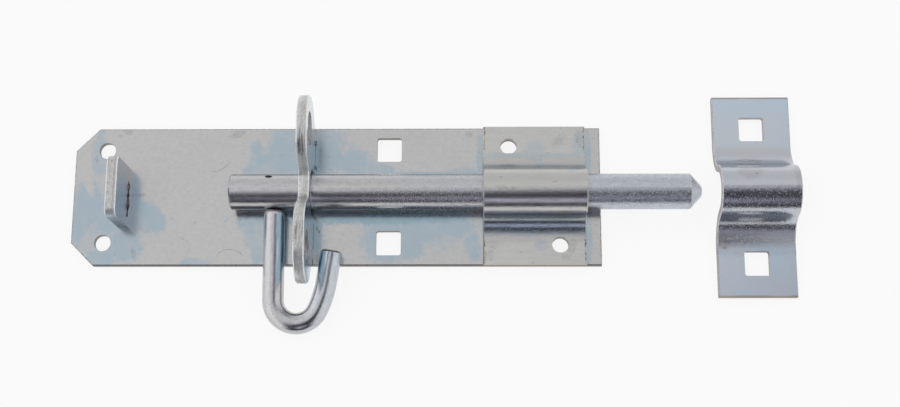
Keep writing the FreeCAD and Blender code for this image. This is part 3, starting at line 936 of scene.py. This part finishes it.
print("keep marks:", len(KEEP_RUST), "of rust", len(KEEP_BROWNED), "browned")

# %% [markdown]
# ## Laying the keep's coats
# Blue-white zinc comes first, greyer over the arch, then brown along the rim of both ends, the browned
# patches, rust, and the cut walls. The rim is the last half millimetre of the sheet, so the distance from
# the ends is enough to find it.

# %% Dress the receiver keep
KEEP_BLUE = (0.512, 0.600, 0.690, 1.0)
KEEP_PALE = (0.541, 0.590, 0.650, 1.0)
KEEP_ARCH = (0.560, 0.550, 0.580, 1.0)
KEEP_RIM = (0.300, 0.235, 0.190, 1.0)
KEEP_BROWN = (0.455, 0.450, 0.470, 1.0)
KEEP_CUT = (0.330, 0.275, 0.235, 1.0)
RUST = (0.330, 0.205, 0.130, 1.0)
KEEP_ARCH_ENDS = (13.0, 16.0)
RIM_RUN_MM = (0.15, 0.75)


def keep_zinc():
    """Bright blue-white strap with brown edges and a speckled sheen on the bends."""
    material, tree, place, normal = start_metal("keep_zinc_bright")
    low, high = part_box("receiver_keep")
    split = split_up(tree, place)
    grain = grain_of(tree, place, stretch=(0.8, 1.0, 1.0), scale=1.4)
    cloud = clouds(tree, place, per_mm=0.09, low=0.35, high=0.65)
    bent = step(tree, sum_of(tree, "ABSOLUTE", split["Y"]), *KEEP_ARCH_ENDS, 1.0, 0.0)
    ends = times(tree, on_edge(tree, place, normal, across=UP), outside(tree, bent))
    cut = sum_of(tree, "MAXIMUM", outside(tree, on_edge(tree, place, normal, across=ALONG_X)), ends)
    from_end = sum_of(tree, "MINIMUM", sum_of(tree, "SUBTRACT", split["Y"], low[1] / MM),
                      sum_of(tree, "SUBTRACT", high[1] / MM, split["Y"]))
    rim = step(tree, more(tree, from_end, cloud, by=0.2), *RIM_RUN_MM, 1.0, 0.0)
    colour = coats(tree, KEEP_BLUE, [
        (KEEP_PALE, cloud, 1.0),
        (KEEP_ARCH, bent, 0.6),
        (KEEP_RIM, rim, 0.75),
        (KEEP_BROWN, patches(tree, place, KEEP_BROWNED, ragged=0.5), 0.5),
        (RUST, patches(tree, place, KEEP_RUST, ragged=0.7), 0.55),
        (KEEP_CUT, cut, 0.75)])
    roughness = keep_roughness(tree, place, grain["Tone"], cut, low[0] / MM, high[0] / MM)
    height = times(tree, grain["Height"], more(tree, 0.1, bent, by=0.9))
    finish_metal(material, tree, colour, roughness, height, depth_mm=0.040)
    return material


dress(keep_zinc(), "receiver_keep")

# %% [markdown]
# ## Burrs, residue and a dark seam
# A blunt press leaves a ragged burr along sheared edges, and a crooked dark seam lies at the foot of the
# end stop, its black partly painted shade of the gap there. Each is a row of small uneven beads along a
# path. Placing them by hand would take an hour; a geometry tree walks along the path instead, sets a bead
# at every step and varies its size.

# %% A tree that sets beads along a path
GEOMETRY = "NodeSocketGeometry"
SMALLEST_BEAD = (0.4, 0.4, 0.5)
LARGEST_BEAD = (1.2, 1.2, 1.5)

bead_run, takes, leave = new_group(
    "bead_run", "GeometryNodeTree",
    [("Path", GEOMETRY, None), ("Spacing", FLOAT, 0.5 * MM), ("Bead", FLOAT, 0.1 * MM),
     ("Length", FLOAT, 0.3 * MM), ("Stray", FLOAT, 0.05 * MM), ("Seed", "NodeSocketInt", 1),
     ("Finish", "NodeSocketMaterial", None)],
    [("Beads", GEOMETRY, None)])
tree = bead_run


def chance_between(low, high):
    """A random vector for each bead, from the tree's seed."""
    inputs = {0: low, 1: high, "Seed": takes["Seed"]}
    return add(bead_run, "FunctionNodeRandomValue", inputs, data_type="FLOAT_VECTOR").outputs[0]


curve = add(tree, "GeometryNodeMeshToCurve", {"Mesh": takes["Path"]}).outputs["Curve"]
walk = {"Curve": curve, "Length": takes["Spacing"]}
steps = add(tree, "GeometryNodeCurveToPoints", walk, mode="LENGTH").outputs
spread = add(tree, "ShaderNodeCombineXYZ", {"X": takes["Stray"], "Y": takes["Stray"]}).outputs["Vector"]
stray = arrow(tree, "MULTIPLY", chance_between((-1.0, -1.0, -1.0), (1.0, 1.0, 1.0)), spread)
moved = {"Geometry": steps["Points"], "Offset": stray}
points = add(tree, "GeometryNodeSetPosition", moved).outputs["Geometry"]
bead = add(tree, "GeometryNodeMeshIcoSphere", {"Radius": 1.0, "Subdivisions": 2}).outputs["Mesh"]
sides = {"X": takes["Bead"], "Y": takes["Bead"], "Z": takes["Length"]}
shape = add(tree, "ShaderNodeCombineXYZ", sides).outputs["Vector"]
size = arrow(tree, "MULTIPLY", shape, chance_between(SMALLEST_BEAD, LARGEST_BEAD))
placing = {"Points": points, "Instance": bead, "Rotation": steps["Rotation"], "Scale": size}
row = add(tree, "GeometryNodeInstanceOnPoints", placing).outputs["Instances"]
solid = add(tree, "GeometryNodeRealizeInstances", {"Geometry": row}).outputs["Geometry"]
smooth = add(tree, "GeometryNodeSetShadeSmooth", {"Geometry": solid}).outputs[0]
coated = {"Geometry": smooth, "Material": takes["Finish"]}
feed(tree, leave, {"Beads": add(tree, "GeometryNodeSetMaterial", coated).outputs["Geometry"]})
print("tree", bead_run.name, "of", len(bead_run.nodes), "nodes")

# %% [markdown]
# ## Growing a piece from a path
# A path is a few points in a plain mesh. The tree hangs on it as a modifier, its inputs are set by their
# identifiers, and the grown result is kept as a plain mesh. The points are dropped on to the solid below
# them, so that beads sit on the metal whatever its height is.

# %% Helpers that drop points and grow pieces
ABOVE = 0.1
DOWN = Vector((0.0, 0.0, -1.0))


def on_top(node_name, x_mm, y_mm):
    """The point on top of a solid at a place given in millimetres."""
    hit, point, _, _ = nodes[node_name].ray_cast(Vector((x_mm * MM, y_mm * MM, ABOVE)), DOWN)
    if not hit:
        raise ValueError(f"nothing of {node_name} at {x_mm}, {y_mm}")
    return point


def grow(name, group, paths, inputs, body):
    """Grows a piece along paths, each a list of points, and hands it to its body."""
    seeds = bpy.data.meshes.new(name + "_path")
    points = [point for path in paths for point in path]
    edges = []
    first = 0
    for path in paths:
        edges += [(first + index, first + index + 1) for index in range(len(path) - 1)]
        first += len(path)
    seeds.from_pydata(points, edges, [])
    piece = bpy.data.objects.new(name, seeds)
    bpy.context.scene.collection.objects.link(piece)
    modifier = piece.modifiers.new("grow", "NODES")
    modifier.node_group = group
    sockets = [item for item in group.interface.items_tree if item.in_out == "INPUT"]
    identifiers = {socket.name: socket.identifier for socket in sockets}
    for label, value in inputs.items():
        modifier[identifiers[label]] = value
    grown = piece.evaluated_get(bpy.context.evaluated_depsgraph_get())
    mesh = bpy.data.meshes.new_from_object(grown)
    piece.modifiers.remove(modifier)
    piece.data = mesh
    mesh.name = name
    bpy.data.meshes.remove(seeds)
    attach(piece, body)
    print("grew", name, "with", len(mesh.polygons), "faces")


print("points are dropped from", ABOVE, "m")

# %% [markdown]
# ## Finishes for burr and residue
# Burr is the same zinc, browned and dark in its hollows. Residue is nearly black and dull; along the end
# stop's foot that black is also painted shade. Beads this small need no stains of their own, so two tones
# and one noise are enough.


# %% Make the burr and residue finishes
def speckled(name, light, deep, smooth, rise):
    """Two-tone broken metal for burrs and residue, smooth where it is light and rougher where deep."""
    material, tree, place, _ = start_metal(name)
    blotch = clouds(tree, place, per_mm=1.2, low=0.40, high=0.60, detail=3.0)
    roughness = more(tree, smooth, blotch, by=rise)
    finish_metal(material, tree, layer(tree, light, deep, blotch), roughness, blotch, depth_mm=0.01)
    return material


BURR_PALE = (0.620, 0.575, 0.490, 1.0)
BURR_BROWN = (0.170, 0.145, 0.125, 1.0)
RESIDUE_AND_SHADE_BLACK = (0.060, 0.058, 0.060, 1.0)
RESIDUE_AND_SHADE_GREY = (0.140, 0.130, 0.125, 1.0)

burr_finish = speckled("burr_brown", BURR_PALE, BURR_BROWN, smooth=0.28, rise=0.2)
residue_and_gap_shade = speckled("residue_and_gap_shade_black", RESIDUE_AND_SHADE_BLACK, RESIDUE_AND_SHADE_GREY, smooth=0.40, rise=0.2)
print("finishes", burr_finish.name, residue_and_gap_shade.name)

# %% [markdown]
# ## Burr on the saddle's flanges
# The shears dragged metal up along the flanges' cut sides. A bevel with noise could roughen those edges,
# but the solids stay as they are, so rows of beads are set just inside them, from the arch's foot to
# near the flange's end.

# %% Grow the saddle's burr
BURR_INSET = 0.40
FLANGE_FROM = 12.5
FLANGE_TO = 19.6
LEFT_STARTS_LATER = 1.0

saddle_low, saddle_high = [Vector(corner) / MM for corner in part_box("guide_saddle")]


def burr_paths(x, start):
    """Paths along both flanges' cut sides at one X."""
    return [[on_top("guide_saddle", x, side * y) for y in (start, FLANGE_TO)] for side in (1, -1)]


right_burr = burr_paths(saddle_high.x - BURR_INSET, FLANGE_FROM)
left_burr = burr_paths(saddle_low.x + BURR_INSET, FLANGE_FROM + LEFT_STARTS_LATER)
grow("saddle_burr", bead_run, right_burr + left_burr,
     {"Spacing": 0.30 * MM, "Bead": 0.19 * MM, "Length": 0.28 * MM, "Stray": 0.12 * MM, "Seed": 4,
      "Finish": burr_finish}, "fixed")

# %% [markdown]
# ## The seam at the end stop's foot
# A thin crooked dark seam with two thicker clots runs along the stop's foot; its black is partly painted
# shade of the gap there. Both come from the same tree with other sizes. Each point is a place along Y and
# how far it stands out from the stop's wall, in millimetres.

# %% Grow the seam and its clots
SEAM = ((-5.9, 0.02), (-4.4, 0.05), (-3.0, 0.28), (-1.8, 0.36), (-0.9, 0.22), (0.1, 0.05), (1.2, 0.16),
        (2.4, 0.28), (3.3, 0.34), (3.9, 0.05))
CLOTS = (((-3.3, 0.28), (-1.9, 0.36)), ((-0.5, 0.20), (0.5, 0.22)))

stop_high = Vector(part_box("end_stop")[1]) / MM
plate_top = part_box("back_plate")[1][2]


def seam_path(run):
    """Path on the plate along the end stop's wall."""
    return [Vector(((stop_high.x + out) * MM, y * MM, plate_top)) for y, out in run]


# Painted shade in part: black beads along the gap at the stop's foot.
grow("lug_seam", bead_run, [seam_path(SEAM)],
     {"Spacing": 0.16 * MM, "Bead": 0.14 * MM, "Length": 0.26 * MM, "Stray": 0.05 * MM, "Seed": 7,
      "Finish": residue_and_gap_shade}, "fixed")
grow("lug_clots", bead_run, [seam_path(run) for run in CLOTS],
     {"Spacing": 0.22 * MM, "Bead": 0.22 * MM, "Length": 0.30 * MM, "Stray": 0.09 * MM, "Seed": 3,
      "Finish": residue_and_gap_shade}, "fixed")

# %% [markdown]
# ## Crumbs by the hasp plate
# A few crumbs of the same residue lie at the hasp plate's foot. They could be dots of dirt in the
# plate's finish, but beads also catch the light. Each run is an X and the Y of its two ends.

# %% Grow the crumbs
CRUMBS = ((-6.05, 16.2, 14.9), (-5.95, 8.9, 7.6), (-5.2, -9.2, -9.9), (-4.6, -10.2, -10.6))

crumb_paths = [[on_top("back_plate", x, y) for y in ends] for x, *ends in CRUMBS]
grow("hasp_residue", bead_run, crumb_paths,
     {"Spacing": 0.24 * MM, "Bead": 0.15 * MM, "Length": 0.22 * MM, "Stray": 0.20 * MM, "Seed": 11,
      "Finish": residue_and_gap_shade}, "fixed")

# %% [markdown]
# ## The dark mouth on the bar
# Near where the hook's spigot comes through, the bar has a small mouth, dark with shade. A dark patch in
# the bar's finish would lie flat and shine, so a short dense run of dull black beads is painted shade for
# it. It rides with the bar.

# %% Grow the mouth
DIMPLE = ((-18.9, 3.55), (-17.6, 3.55))
RECESS_SHADE_BLACK = (0.040, 0.040, 0.042, 1.0)
RECESS_SHADE_GREY = (0.050, 0.048, 0.050, 1.0)

# Painted shade: black beads for the shade inside the mouth.
recess_shade_finish = speckled("recess_shade_dark", RECESS_SHADE_BLACK, RECESS_SHADE_GREY, smooth=0.45, rise=0.1)
grow("bar_dimple", bead_run, [[on_top("bolt_bar", x, y) for x, y in DIMPLE]],
     {"Spacing": 0.12 * MM, "Bead": 0.34 * MM, "Length": 0.40 * MM, "Stray": 0.04 * MM, "Seed": 5,
      "Finish": recess_shade_finish}, "bolt")
